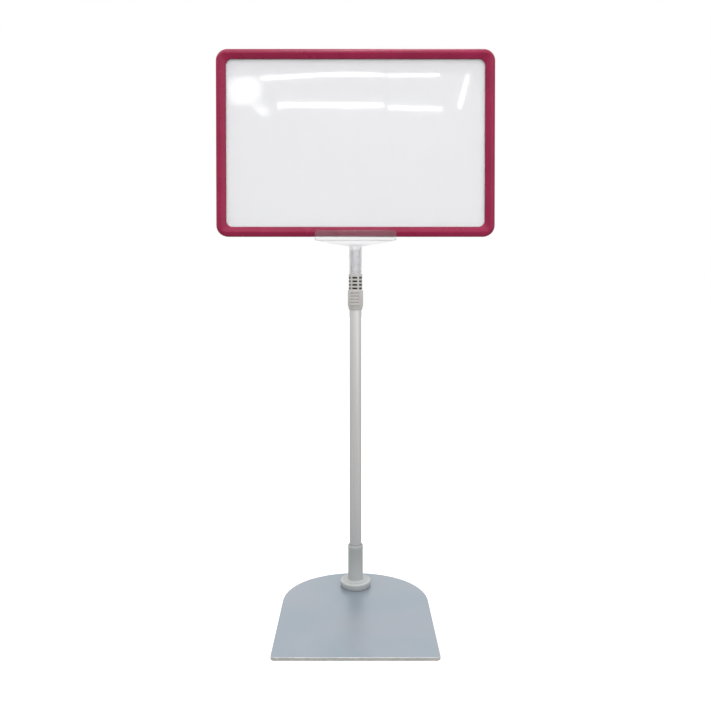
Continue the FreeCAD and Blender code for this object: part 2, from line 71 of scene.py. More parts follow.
# %% [markdown]
# ## Camera
# The stand is seen from straight in front, from a little above the middle of the pole. In a studio
# the camera is kept level, so that upright edges stay upright, and the lens looks down by shifting.
# A small shift with a slight tilt does nearly the same here, and keeps the stand whole when the
# camera goes round it.

# %% Camera
CAMERA_DISTANCE = 0.75
CAMERA_HEIGHT = 0.3226
CAMERA_TILT = math.radians(1.0)
CAMERA_LENS = 36.2
CAMERA_SHIFT = -0.085

camera_data = bpy.data.cameras.new("front_camera")
camera_data.lens = CAMERA_LENS
camera_data.sensor_width = 36.0
camera_data.shift_y = CAMERA_SHIFT
camera_data.clip_start = 0.01
camera = bpy.data.objects.new("front_camera", camera_data)
camera.location = (0, pole_y - CAMERA_DISTANCE, CAMERA_HEIGHT)
camera.rotation_euler = (math.pi / 2 - CAMERA_TILT, 0, 0)
scene.collection.objects.link(camera)
scene.camera = camera
print("camera at", [round(value, 3) for value in camera.location])

# %% [markdown]
# ## Studio lamps
# Soft light comes from large lamps. One hangs high on the left, one stands far out on the right, a
# small one brightens the front, and a narrow one overhead draws a glint along the frame's top bar.
# The high lamp stays out of the direction that the bars' slopes mirror, so that they stay deep red.

# %% Lamps
LAMPS = [
    # name, place, target, width, height, watts
    ("key_lamp", (-0.8, -1.0, 2.8), (0, 0, 0.3), 3.4, 1.5, 17),
    ("front_lamp", (-0.3, -2.2, 1.9), (0, 0, 0.4), 1.7, 0.7, 5),
    ("top_lamp", (0.1, -0.05, 2.6), (0, 0, 0.5), 1.5, 0.35, 13),
    ("fill_lamp", (1.8, -1.9, 1.2), (0, 0, 0.3), 2.2, 2.2, 14),
]


def lamp(name, place, target, width, height, watts):
    """A rectangular lamp that looks from its place at a target."""
    data = bpy.data.lights.new(name, "AREA")
    data.shape = "RECTANGLE"
    data.size = width
    data.size_y = height
    data.energy = watts
    piece = bpy.data.objects.new(name, data)
    piece.location = place
    piece.rotation_euler = (Vector(target) - Vector(place)).to_track_quat("-Z", "Y").to_euler()
    piece.visible_camera = False
    scene.collection.objects.link(piece)
    return piece


for settings in LAMPS:
    lamp(*settings)
print("lamps:", ", ".join(settings[0] for settings in LAMPS))

# %% [markdown]
# ## Arithmetic in node trees
# Worlds, lamps and materials all need small sums. One Math node does one step, so this helper makes
# the node, links what is a socket and types in what is a number.

# %% One step of arithmetic
def calculate(tree, operation, *values, clamp=False):
    """A Math node's result. Each value is a number or another node's output."""
    node = tree.nodes.new("ShaderNodeMath")
    node.operation = operation
    node.use_clamp = clamp
    for socket, value in zip(node.inputs, values):
        if isinstance(value, (int, float)):
            socket.default_value = value
        else:
            tree.links.new(value, socket)
    return node.outputs["Value"]


def split_axes(tree, source):
    """A Separate XYZ node that reads a vector."""
    node = tree.nodes.new("ShaderNodeSeparateXYZ")
    tree.links.new(source, node.inputs["Vector"])
    return node.outputs


# %% [markdown]
# ## World
# The room gives an even light that grows towards the wall behind and the ceiling. A picture of a
# room could do the same, but three numbers are easier to tune. The camera sees plain white paper in
# its place, so that the backdrop stays clean while the mirrored room stays darker.

# %% World, brighter above and behind
FRONT_LIGHT = 0.81
WALL_LIGHT = 0.12
CEILING_LIGHT = 0.50


def make_world():
    """A world with a room for light and reflections, and white paper for the camera."""
    made = bpy.data.worlds.new("studio_world")
    made.use_nodes = True
    tree = made.node_tree
    room = tree.nodes["Background"]
    direction = tree.nodes.new("ShaderNodeTexCoord")
    parts = split_axes(tree, direction.outputs["Generated"])
    strength = FRONT_LIGHT
    for axis, gain in (("Y", WALL_LIGHT), ("Z", CEILING_LIGHT)):
        towards = calculate(tree, "MAXIMUM", parts[axis], 0)
        strength = calculate(tree, "MULTIPLY_ADD", towards, gain, strength)
    tree.links.new(strength, room.inputs["Strength"])
    room.inputs["Color"].default_value = (1, 1, 1, 1)
    paper = tree.nodes.new("ShaderNodeBackground")
    paper.inputs["Color"].default_value = (1, 1, 1, 1)
    path = tree.nodes.new("ShaderNodeLightPath")
    mix = tree.nodes.new("ShaderNodeMixShader")
    tree.links.new(path.outputs["Is Camera Ray"], mix.inputs["Fac"])
    tree.links.new(room.outputs["Background"], mix.inputs[1])
    tree.links.new(paper.outputs["Background"], mix.inputs[2])
    tree.links.new(mix.outputs["Shader"], tree.nodes["World Output"].inputs["Surface"])
    return made


scene.world = make_world()
scene.view_settings.view_transform = "Standard"
print("world:", scene.world.name)

# %% [markdown]
# ## Floor
# The floor is one large matt sheet. It is painted light grey, so that it doesn't throw too much
# light up under the frame, and glows just enough in the camera's view to reach white.

# %% Floor
FLOOR_SIZE = 12.0
FLOOR_PAINT = 0.42
FLOOR_LIFT = 0.75


def make_floor_paint():
    """Matt grey paint that glows for the camera only."""
    paint = bpy.data.materials.new("studio_paint")
    paint.use_nodes = True
    tree = paint.node_tree
    shader = tree.nodes["Principled BSDF"]
    shader.inputs["Base Color"].default_value = (FLOOR_PAINT, FLOOR_PAINT, FLOOR_PAINT, 1)
    shader.inputs["Roughness"].default_value = 0.9
    shader.inputs["Specular IOR Level"].default_value = 0.1
    shader.inputs["Emission Color"].default_value = (1, 1, 1, 1)
    path = tree.nodes.new("ShaderNodeLightPath")
    lift = calculate(tree, "MULTIPLY", path.outputs["Is Camera Ray"], FLOOR_LIFT)
    tree.links.new(lift, shader.inputs["Emission Strength"])
    return paint


floor_bm = bmesh.new()
bmesh.ops.create_grid(floor_bm, x_segments=1, y_segments=1, size=FLOOR_SIZE / 2)
floor_mesh = bpy.data.meshes.new("studio_floor")
floor_bm.to_mesh(floor_mesh)
floor_bm.free()
floor_mesh.materials.append(make_floor_paint())
floor = bpy.data.objects.new("studio_floor", floor_mesh)
scene.collection.objects.link(floor)
print("floor:", FLOOR_SIZE, "m square")

# %% [markdown]
# ## Tubes of the ceiling light, mirrored in the clear sheet
# The clear sheet in front of the card shows long thin highlights: rows of fluorescent tubes. A lamp
# shows in a flat mirror where the straight line from the camera's mirror image crosses the sheet,
# so a highlight's rectangle on the sheet, blown up from that point, gives the lamp's place and size.

# %% Fade a lamp towards its ends and sides
def soften_lamp(data, along, across):
    """Fades a lamp as a glowing tube or a far window does. A larger power fades it sooner."""
    data.use_nodes = True
    tree = data.node_tree
    place = tree.nodes.new("ShaderNodeNewGeometry")
    parts = split_axes(tree, place.outputs["Parametric"])
    fades = []
    for axis, power in (("X", along), ("Y", across)):
        rest = calculate(tree, "SUBTRACT", 1, parts[axis])
        hump = calculate(tree, "MULTIPLY", parts[axis], rest)
        full = calculate(tree, "MULTIPLY", hump, 4)
        fades.append(calculate(tree, "POWER", full, power))
    tree.links.new(calculate(tree, "MULTIPLY", *fades), tree.nodes["Emission"].inputs["Strength"])


# %% Lamps that show in the clear sheet
MIRROR_LAMP_REACH = 1.2
SHEET_FRONT = 0.8
HIGHLIGHTS = [
    # name, left, right, top and bottom as shares of the card, brightness, turn, end and side fades
    ("upper_tube_left", 0.15, 0.60, 0.116, 0.138, 11, 0, 0.15, 1.0),
    ("upper_tube_right", 0.62, 0.81, 0.114, 0.134, 11, 2, 0.15, 1.0),
    ("lower_tube_left", 0.21, 0.60, 0.266, 0.294, 11, 0, 0.15, 1.0),
    ("lower_tube_right", 0.62, 0.82, 0.290, 0.312, 11, -3, 0.15, 1.0),
    ("window_left", 0.01, 0.17, 0.100, 0.290, 6, 0, 1.6, 1.2),
    ("window_foot", 0.10, 0.20, 0.240, 0.330, 4, -40, 1.5, 2.0),
    ("side_tube", 0.890, 0.908, 0.100, 0.310, 7, -17, 1.0, 0.3),
]

sheet_y = parting_y - SHEET_FRONT * MM
blow_up = 1 + MIRROR_LAMP_REACH / (sheet_y - camera.location.y)


def mirrored_lamp(name, left, right, top, bottom, brightness, turn, along, across):
    """A lamp whose mirror image covers a part of the card, given as shares of its width and height."""
    width = (right - left) * (card_high.x - card_low.x) * blow_up
    height = (bottom - top) * (card_high.z - card_low.z) * blow_up
    x = card_low.x + (left + right) / 2 * (card_high.x - card_low.x)
    z = card_high.z - (top + bottom) / 2 * (card_high.z - card_low.z)
    place = Vector((x * blow_up, sheet_y - MIRROR_LAMP_REACH,
                    camera.location.z + (z - camera.location.z) * blow_up))
    watts = brightness * width * height * math.pi
    piece = lamp(name, place, place + Vector((0, 1, 0)), width, height, watts)
    piece.rotation_euler.rotate_axis("Z", math.radians(turn))
    soften_lamp(piece.data, along, across)


for highlight in HIGHLIGHTS:
    mirrored_lamp(*highlight)
print("mirrored lamps:", ", ".join(highlight[0] for highlight in HIGHLIGHTS))

# %% [markdown]
# ## Helpers for pieces
# Every piece ends in the same way: its mesh gets a finish, takes smooth shading up to a given edge
# angle, rides on its CAD body and stands for its CAD node. A turned piece is a closed outline spun
# about the pole. A moulded piece is a merged copy of its CAD solid with a real radius on its edges.

# %% Finish a piece
def finish_piece(name, bm, material, slot, body, *nodes, sharp=35.0):
    """Turns a bmesh into a piece that rides on a body and stands for CAD nodes."""
    mesh = bpy.data.meshes.new(name)
    bm.to_mesh(mesh)
    bm.free()
    mesh.materials.append(material)
    mesh.shade_smooth()
    mesh.set_sharp_from_angle(angle=math.radians(sharp))
    piece = bpy.data.objects.new(name, mesh)
    scene.collection.objects.link(piece)
    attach(piece, body)
    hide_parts(*nodes)
    print(f"{name}: {len(mesh.polygons)} faces")


# %% Turn an outline about the pole
TURN_STEPS = 96


def turned(outline_mm):
    """A closed solid of revolution from (radius, height) points in millimetres."""
    bm = bmesh.new()
    points = [bm.verts.new((radius * MM, pole_y, height * MM)) for radius, height in outline_mm]
    edges = [bm.edges.new(pair) for pair in zip(points, points[1:] + points[:1])]
    bmesh.ops.spin(bm, geom=points + edges, cent=(0, pole_y, 0), axis=(0, 0, 1),
                   angle=2 * math.pi, steps=TURN_STEPS, use_merge=True)
    bmesh.ops.remove_doubles(bm, verts=bm.verts, dist=0.001 * MM)
    bmesh.ops.recalc_face_normals(bm, faces=bm.faces)
    return bm


# %% Round the edges of a piece
def soften(bm, width_mm, segments=3, angle=30.0, wanted=lambda edge: True):
    """Rounds the edges that turn by more than an angle, and marks the new faces as edge faces."""
    mark = bm.faces.layers.float.get("edge") or bm.faces.layers.float.new("edge")
    limit = math.radians(angle)
    edges = [edge for edge in bm.edges
             if edge.is_manifold and edge.calc_face_angle(0) > limit and wanted(edge)]
    made = bmesh.ops.bevel(bm, geom=edges, offset=width_mm * MM, offset_type="OFFSET",
                           segments=segments, profile=0.5, affect="EDGES", material=-1,
                           clamp_overlap=True)
    for face in made["faces"]:
        face[mark] = 1.0
    return bm


def ring_at(radius_mm, height_mm):
    """Picks the edges of the level circle with this radius and height."""
    def on_ring(edge):
        return all(abs(vert.co.z - height_mm * MM) < 0.02 * MM
                   and abs(math.hypot(vert.co.x, vert.co.y - pole_y) - radius_mm * MM) < 0.02 * MM
                   for vert in edge.verts)
    return on_ring


# %% Merge a copy of a CAD solid
def merged_copy(node):
    """A CAD node's triangles as one closed mesh with flat faces made whole."""
    bm = bmesh.new()
    bm.from_mesh(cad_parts[node].data)
    bmesh.ops.remove_doubles(bm, verts=bm.verts, dist=0.002 * MM)
    bmesh.ops.dissolve_limit(bm, angle_limit=math.radians(0.6), verts=bm.verts, edges=bm.edges)
    return bm


# %% [markdown]
# ## Shared effects
# Four effects come back in several finishes, so each is a node group. `drawn_lines` are the faint
# lengthwise lines of drawn metal, `moulded_skin` is the fine uneven skin of moulded plastic,
# `handling` is a slow change of gloss and tone where hands and cloths have been, and the edge group
# picks out bevelled and cut edges: rubbed edges on the mouldings, and on the foot a painted highlight
# along the cut edge. All read the piece's own coordinates, so nothing slides in a pose.

# %% Node group tools
def new_group(name, inputs, outputs):
    """An empty node group with named inputs and outputs."""
    group = bpy.data.node_groups.new(name, "ShaderNodeTree")
    for label, kind, value in inputs:
        socket = group.interface.new_socket(label, in_out="INPUT", socket_type=kind)
        socket.default_value = value
    for label, kind in outputs:
        group.interface.new_socket(label, in_out="OUTPUT", socket_type=kind)
    return group, group.nodes.new("NodeGroupInput"), group.nodes.new("NodeGroupOutput")


def stretched_noise(tree, stretch, scale, detail, scale_from=None):
    """A noise texture on Object coordinates, stretched along the axes."""
    place = tree.nodes.new("ShaderNodeTexCoord")
    mapping = tree.nodes.new("ShaderNodeMapping")
    mapping.inputs["Scale"].default_value = stretch
    noise = tree.nodes.new("ShaderNodeTexNoise")
    noise.inputs["Scale"].default_value = scale
    noise.inputs["Detail"].default_value = detail
    tree.links.new(place.outputs["Object"], mapping.inputs["Vector"])
    tree.links.new(mapping.outputs["Vector"], noise.inputs["Vector"])
    if scale_from:
        tree.links.new(scale_from, noise.inputs["Scale"])
    return noise


def spread(tree, source, low, high):
    """Maps a 0 to 1 value onto low to high."""
    node = tree.nodes.new("ShaderNodeMapRange")
    node.inputs["To Min"].default_value = low
    node.inputs["To Max"].default_value = high
    tree.links.new(source, node.inputs["Value"])
    return node.outputs["Result"]


# %% Lengthwise lines of drawn metal
def make_drawn_lines():
    group, entry, way_out = new_group(
        "drawn_lines",
        [("Depth", "NodeSocketFloat", 0.2)],
        [("Tone", "NodeSocketFloat"), ("Normal", "NodeSocketVector")])
    coarse = stretched_noise(group, (1, 1, 0.01), 900, 2)
    fine = stretched_noise(group, (1, 1, 0.004), 3500, 1)
    both = calculate(group, "MULTIPLY", coarse.outputs["Fac"], fine.outputs["Fac"])
    bump = group.nodes.new("ShaderNodeBump")
    bump.inputs["Distance"].default_value = 0.05 * MM
    group.links.new(both, bump.inputs["Height"])
    group.links.new(entry.outputs["Depth"], bump.inputs["Strength"])
    group.links.new(coarse.outputs["Fac"], way_out.inputs["Tone"])
    group.links.new(bump.outputs["Normal"], way_out.inputs["Normal"])
    return group


# %% Skin of moulded plastic
def make_moulded_skin():
    group, entry, way_out = new_group(
        "moulded_skin",
        [("Scale", "NodeSocketFloat", 900.0), ("Depth", "NodeSocketFloat", 0.1)],
        [("Tone", "NodeSocketFloat"), ("Normal", "NodeSocketVector")])
    skin = stretched_noise(group, (1, 1, 1), 900, 3, entry.outputs["Scale"])
    bump = group.nodes.new("ShaderNodeBump")
    bump.inputs["Distance"].default_value = 0.1 * MM
    group.links.new(skin.outputs["Fac"], bump.inputs["Height"])
    group.links.new(entry.outputs["Depth"], bump.inputs["Strength"])
    group.links.new(skin.outputs["Fac"], way_out.inputs["Tone"])
    group.links.new(bump.outputs["Normal"], way_out.inputs["Normal"])
    return group


# %% Marks of handling
def make_handling():
    group, entry, way_out = new_group(
        "handling",
        [("Size", "NodeSocketFloat", 18.0), ("Roughness", "NodeSocketFloat", 0.3),
         ("Change", "NodeSocketFloat", 0.08)],
        [("Roughness", "NodeSocketFloat"), ("Mask", "NodeSocketFloat")])
    cloud = stretched_noise(group, (1, 1, 1), 18, 4, entry.outputs["Size"])
    middle = calculate(group, "SUBTRACT", cloud.outputs["Fac"], 0.5)
    blend = calculate(group, "MULTIPLY_ADD", middle, entry.outputs["Change"],
                      entry.outputs["Roughness"])
    group.links.new(blend, way_out.inputs["Roughness"])
    group.links.new(cloud.outputs["Fac"], way_out.inputs["Mask"])
    return group


# %% Rubbed edges, and a painted highlight on the foot's cut edge
def make_edge_wear_and_sheen():
    """Reads the mark that edge faces carry, and breaks it up into patches."""
    group, entry, way_out = new_group(
        "edge_wear_and_sheen",
        [("Amount", "NodeSocketFloat", 0.4)],
        [("Mask", "NodeSocketFloat")])
    marked = group.nodes.new("ShaderNodeAttribute")
    marked.attribute_name = "edge"
    patches = stretched_noise(group, (1, 1, 1), 240, 4)
    wear_and_sheen_amount = calculate(group, "MULTIPLY", patches.outputs["Fac"], entry.outputs["Amount"])
    share = calculate(group, "MULTIPLY", wear_and_sheen_amount, marked.outputs["Fac"], clamp=True)
    group.links.new(share, way_out.inputs["Mask"])
    return group


# %% Make the node groups
DRAWN_LINES = make_drawn_lines()
MOULDED_SKIN = make_moulded_skin()
HANDLING = make_handling()
EDGE_WEAR_AND_SHEEN = make_edge_wear_and_sheen()
print("node groups:", [group.name for group in (DRAWN_LINES, MOULDED_SKIN, HANDLING, EDGE_WEAR_AND_SHEEN)])

# %% Tools for materials
def new_material(name):
    """A material with a Principled shader, and its tree and shader for adding to."""
    material = bpy.data.materials.new(name)
    material.use_nodes = True
    tree = material.node_tree
    return material, tree, tree.nodes["Principled BSDF"]


def place_group(tree, group, **values):
    """A node group in a material, with its own values."""
    node = tree.nodes.new("ShaderNodeGroup")
    node.node_tree = group
    for label, value in values.items():
        node.inputs[label].default_value = value
    return node


def two_tones(tree, shader, factor, dark, light):
    """Base colour that moves between two tones with a 0 to 1 factor."""
    mix = tree.nodes.new("ShaderNodeMix")
    mix.data_type = "RGBA"
    mix.inputs["A"].default_value = (*dark, 1)
    mix.inputs["B"].default_value = (*light, 1)
    tree.links.new(factor, mix.inputs["Factor"])
    tree.links.new(mix.outputs["Result"], shader.inputs["Base Color"])
    return mix


def wear_and_sheen_on_edges(tree, shader, tone, amount):
    """Lays a tone over the base colour on edge faces: rubbed on mouldings, a painted highlight on the
    foot.
    """
    wear_and_sheen = place_group(tree, EDGE_WEAR_AND_SHEEN, Amount=amount)
    under = shader.inputs["Base Color"].links[0].from_socket
    mix = tree.nodes.new("ShaderNodeMix")
    mix.data_type = "RGBA"
    mix.inputs["B"].default_value = (*tone, 1)
    tree.links.new(wear_and_sheen.outputs["Mask"], mix.inputs["Factor"])
    tree.links.new(under, mix.inputs["A"])
    tree.links.new(mix.outputs["Result"], shader.inputs["Base Color"])


# %% [markdown]
# ## Finishes
# Each finish is one function that starts from the Principled shader. Plain numbers sit on the
# shader's own sockets, and only what changes over the surface comes from nodes.
#
# ### Zinc-plated steel
# The foot's plating is a thin bluish metal skin with clouds, stains and the faint grain of rolled
# sheet. Clouds and stains are two noises of different size. The shader is only partly metallic,
# because plain metal would turn nearly as white as the room round it.

# %% Zinc-plated sheet steel of the foot
def make_zinc_plate():
    """Bluish zinc plating: clouds of blue and grey, small stains, and a rolled grain front to back."""
    material, tree, shader = new_material("zinc_plate")
    shader.inputs["Metallic"].default_value = 0.45
    marks = place_group(tree, HANDLING, Size=14.0, Roughness=0.36, Change=0.18)
    grain = stretched_noise(tree, (1, 0.03, 1), 1400, 2)
    bump = tree.nodes.new("ShaderNodeBump")
    bump.inputs["Strength"].default_value = 0.12
    bump.inputs["Distance"].default_value = 0.03 * MM
    tree.links.new(grain.outputs["Fac"], bump.inputs["Height"])
    tree.links.new(bump.outputs["Normal"], shader.inputs["Normal"])
    tree.links.new(marks.outputs["Roughness"], shader.inputs["Roughness"])
    tone = spread(tree, marks.outputs["Mask"], -0.9, 1.9)
    clouds = two_tones(tree, shader, tone, (0.245, 0.298, 0.336), (0.298, 0.319, 0.361))
    blots = stretched_noise(tree, (1, 0.45, 1), 95, 5)
    stains = tree.nodes.new("ShaderNodeMapRange")
    stains.inputs["From Min"].default_value = 0.60
    stains.inputs["From Max"].default_value = 0.78
    stains.inputs["To Max"].default_value = 0.35
    stained = tree.nodes.new("ShaderNodeMix")
    stained.data_type = "RGBA"
    stained.inputs["B"].default_value = (0.270, 0.330, 0.370, 1)
    tree.links.new(blots.outputs["Fac"], stains.inputs["Value"])
    tree.links.new(stains.outputs["Result"], stained.inputs["Factor"])
    tree.links.new(clouds.outputs["Result"], stained.inputs["A"])
    tree.links.new(stained.outputs["Result"], shader.inputs["Base Color"])
    # The paler beige-grey laid on the faces marked as edge is a painted highlight along the cut edge.
    wear_and_sheen_on_edges(tree, shader, (0.50, 0.49, 0.46), 1.5)
    return material


# %% [markdown]
# ### Drawn metal
# The tubes are satin aluminium and the screw and nut are bright zinc. Both were drawn through a die,
# which leaves lines along them. A noise stretched lengthwise gives the lines to tone and bump alike.

# %% Drawn metal
def make_drawn_metal(name, dark, light, roughness):
    """Metal with lengthwise lines, from a dark tone, a light tone and a mean roughness."""
    material, tree, shader = new_material(name)
    shader.inputs["Metallic"].default_value = 0.55
    lines = place_group(tree, DRAWN_LINES, Depth=0.35)
    marks = place_group(tree, HANDLING, Size=30.0, Roughness=roughness, Change=0.10)
    two_tones(tree, shader, lines.outputs["Tone"], dark, light)
    tree.links.new(lines.outputs["Normal"], shader.inputs["Normal"])
    tree.links.new(marks.outputs["Roughness"], shader.inputs["Roughness"])
    return material


# %% [markdown]
# ### Moulded plastics
# The socket, the clamp, the plugs and the rubber sleeve come out of moulds with a fine dull skin.
# One function serves them all, because only tone and gloss differ. Rubbed edges are a little paler.

# %% Grey, white and black mouldings
MOULDING_SKIN_SCALE = 1500.0
MOULDING_SKIN_DEPTH = 0.12


def make_moulding(name, dark, light, roughness):
    """Dull moulded plastic or rubber, from a dark tone, a light tone and a mean roughness."""
    material, tree, shader = new_material(name)
    skin = place_group(tree, MOULDED_SKIN, Scale=MOULDING_SKIN_SCALE, Depth=MOULDING_SKIN_DEPTH)
    marks = place_group(tree, HANDLING, Size=60.0, Roughness=roughness, Change=0.12)
    two_tones(tree, shader, marks.outputs["Mask"], dark, light)
    wear_and_sheen_on_edges(tree, shader, [min(1.0, 1.25 * part) for part in light], 0.7)
    tree.links.new(skin.outputs["Normal"], shader.inputs["Normal"])
    tree.links.new(marks.outputs["Roughness"], shader.inputs["Roughness"])
    return material


# %% [markdown]
# ### Crimson gloss
# The frame is coloured right through and has a moulded gloss. Deep red needs little mirror light, so
# the gloss is kept low and a thin coat adds the sharper glint. A slow noise gives the flow lines.

# %% Glossy crimson of the frame
def make_crimson():
    """Pigmented gloss plastic: flow lines from moulding in the tone, and a slightly wavy skin."""
    material, tree, shader = new_material("crimson_gloss")
    shader.inputs["Specular IOR Level"].default_value = 0.20
    shader.inputs["Coat Weight"].default_value = 0.06
    shader.inputs["Coat Roughness"].default_value = 0.06
    marks = place_group(tree, HANDLING, Size=26.0, Roughness=0.27, Change=0.14)
    skin = place_group(tree, MOULDED_SKIN, Scale=260.0, Depth=0.35)
    flow = stretched_noise(tree, (1, 1, 1), 45, 3)
    two_tones(tree, shader, flow.outputs["Fac"], (0.215, 0.006, 0.036), (0.320, 0.013, 0.066))
    tree.links.new(skin.outputs["Normal"], shader.inputs["Normal"])
    tree.links.new(marks.outputs["Roughness"], shader.inputs["Roughness"])
    wear_and_sheen_on_edges(tree, shader, (0.48, 0.05, 0.12), 0.5)
    return material


# %% [markdown]
# ### Clear plastics
# Real clear plastic lets light through to what it covers. A traced shader gets that wrong for
# shadows unless it follows bent light, so a shadow ray is let straight through instead. The film is
# polished. The T-piece is satin below the frame's seat, and has two frosted pads on its front lip.

# %% What the clear plastics share
CLEAR_IOR = 1.49


def make_clear(name, tint, skin_scale, skin_depth, clearness):
    """Clear plastic that casts no shadow. Its roughness is left to the caller."""
    material, tree, shader = new_material(name)
    shader.inputs["Base Color"].default_value = (*tint, 1)
    shader.inputs["Transmission Weight"].default_value = clearness
    shader.inputs["IOR"].default_value = CLEAR_IOR
    skin = place_group(tree, MOULDED_SKIN, Scale=skin_scale, Depth=skin_depth)
    tree.links.new(skin.outputs["Normal"], shader.inputs["Normal"])
    path = tree.nodes.new("ShaderNodeLightPath")
    through = tree.nodes.new("ShaderNodeBsdfTransparent")
    mix = tree.nodes.new("ShaderNodeMixShader")
    tree.links.new(path.outputs["Is Shadow Ray"], mix.inputs["Fac"])
    tree.links.new(shader.outputs["BSDF"], mix.inputs[1])
    tree.links.new(through.outputs["BSDF"], mix.inputs[2])
    tree.links.new(mix.outputs["Shader"], tree.nodes["Material Output"].inputs["Surface"])
    return material, tree, shader


# %% Clear film
def make_clear_sheet():
    """Clear film with faint wipe marks that change its gloss."""
    material, tree, shader = make_clear("clear_sheet", (0.985, 0.985, 0.99), 120.0, 0.02, 1.0)
    marks = place_group(tree, HANDLING, Size=20.0, Roughness=0.03, Change=0.03)
    tree.links.new(marks.outputs["Roughness"], shader.inputs["Roughness"])
    return material


# %% Clear moulding
SATIN_FADE = 1.5
FROST_DEPTH = 0.06


def make_clear_moulding():
    """Clear moulding: satin below the frame's seat, polished lips, and two frosted panels."""
    material, tree, shader = make_clear("clear_moulding", (0.955, 0.955, 0.965), 300.0, 0.10, 0.988)
    shader.inputs["Specular IOR Level"].default_value = 0.35
    marks = place_group(tree, HANDLING, Size=40.0, Roughness=0.08, Change=0.06)
    place = tree.nodes.new("ShaderNodeTexCoord")
    parts = split_axes(tree, place.outputs["Object"])
    satin = tree.nodes.new("ShaderNodeMapRange")
    satin.inputs["From Min"].default_value = frame_low_z
    satin.inputs["From Max"].default_value = frame_low_z - SATIN_FADE * MM
    satin.inputs["To Max"].default_value = 0.24
    tree.links.new(parts["Z"], satin.inputs["Value"])
    frost = tree.nodes.new("ShaderNodeMapRange")
    frost.inputs["From Min"].default_value = tee_low.y + FROST_DEPTH * MM
    frost.inputs["From Max"].default_value = tee_low.y
    frost.inputs["To Max"].default_value = 0.45
    tree.links.new(parts["Y"], frost.inputs["Value"])
    total = marks.outputs["Roughness"]
    for part in (satin, frost):
        total = calculate(tree, "ADD", total, part.outputs["Result"])
    tree.links.new(total, shader.inputs["Roughness"])
    return material


# %% [markdown]
# ### Card
# The card is matt white board. Paper is never one even white: its fibres gather in faint clouds, and
# short ones stand up along the grain. A slow noise tints it and a fine stretched one roughens it.

# %% White card
def make_card():
    """Matt white board with a faint cloudy formation and short fibres."""
    material, tree, shader = new_material("white_card")
    shader.inputs["Roughness"].default_value = 0.75
    cloud = stretched_noise(tree, (1, 1, 1), 70, 4)
    fibre = stretched_noise(tree, (1, 1, 3), 2200, 2)
    bump = tree.nodes.new("ShaderNodeBump")
    bump.inputs["Strength"].default_value = 0.15
    bump.inputs["Distance"].default_value = 0.03 * MM
    tree.links.new(fibre.outputs["Fac"], bump.inputs["Height"])
    tree.links.new(bump.outputs["Normal"], shader.inputs["Normal"])
    two_tones(tree, shader, cloud.outputs["Fac"], (0.905, 0.905, 0.92), (0.94, 0.94, 0.95))
    return material


# %% [markdown]
# ## All the finishes
# The tones are set here, side by side, so that neighbours can be judged together: the clamp is a
# warmer grey than the socket, and the upper tube a cooler one than the lower.

# %% Make the finishes
zinc = make_zinc_plate()
satin_outer = make_drawn_metal("satin_outer_tube", (0.472, 0.464, 0.461), (0.596, 0.586, 0.578), 0.46)
satin_inner = make_drawn_metal("satin_inner_tube", (0.49, 0.49, 0.51), (0.58, 0.58, 0.60), 0.55)
grey_moulding = make_moulding("grey_moulding", (0.318, 0.331, 0.328), (0.366, 0.376, 0.375), 0.42)
lock_plastic = make_moulding("warm_grey_plastic", (0.425, 0.407, 0.393), (0.490, 0.472, 0.458), 0.45)
white_plastic = make_moulding("natural_plastic", (0.66, 0.66, 0.64), (0.74, 0.74, 0.72), 0.40)
black_rubber = make_moulding("black_rubber", (0.012, 0.012, 0.012), (0.022, 0.021, 0.020), 0.62)
bright_zinc = make_drawn_metal("bright_zinc", (0.45, 0.45, 0.43), (0.62, 0.62, 0.60), 0.32)
crimson = make_crimson()
clear_moulding = make_clear_moulding()
clear_sheet = make_clear_sheet()
white_card = make_card()
finishes = (zinc, satin_outer, satin_inner, grey_moulding, lock_plastic, white_plastic, black_rubber,
            bright_zinc, crimson, clear_moulding, clear_sheet, white_card)
print("finishes:", ", ".join(material.name for material in finishes))

# %% [markdown]
# ## Foot plate
# The real foot is one laser-cut or punched sheet of steel, so its edge is short and crisp with a
# slight roll. The CAD solid already has the outline and the rolled top edge. A merged copy shades
# the long curves smoothly, which loose triangles can't. Faces that don't look up are marked as edge,
# and the zinc finish paints them paler in patches: a painted highlight along the cut edge.

# %% Foot plate
LOOKS_UP = 0.9
plate_bm = merged_copy("base_plate")
cut_edge = plate_bm.faces.layers.float.new("edge")
for face in plate_bm.faces:
    if face.normal.z < LOOKS_UP:
        face[cut_edge] = 1.0
finish_piece("foot_plate", plate_bm, zinc, "plate_steel", "base", "base_plate", sharp=25)

# %% [markdown]
# ## Pole socket
# A moulded socket narrows a little towards its top so that it leaves its mould, and every corner is
# rounded. It is turned from an outline, and the level circles where the outline turns are bevelled.
# A small recess at the mouth leaves the dark ring that shows round the tube.

# %% Pole socket
SCREW_HOLE = 2.65
NECK_FOOT = 8.4
NECK = 7.8
MOUTH = 7.85
BORE_PLAY = 0.02

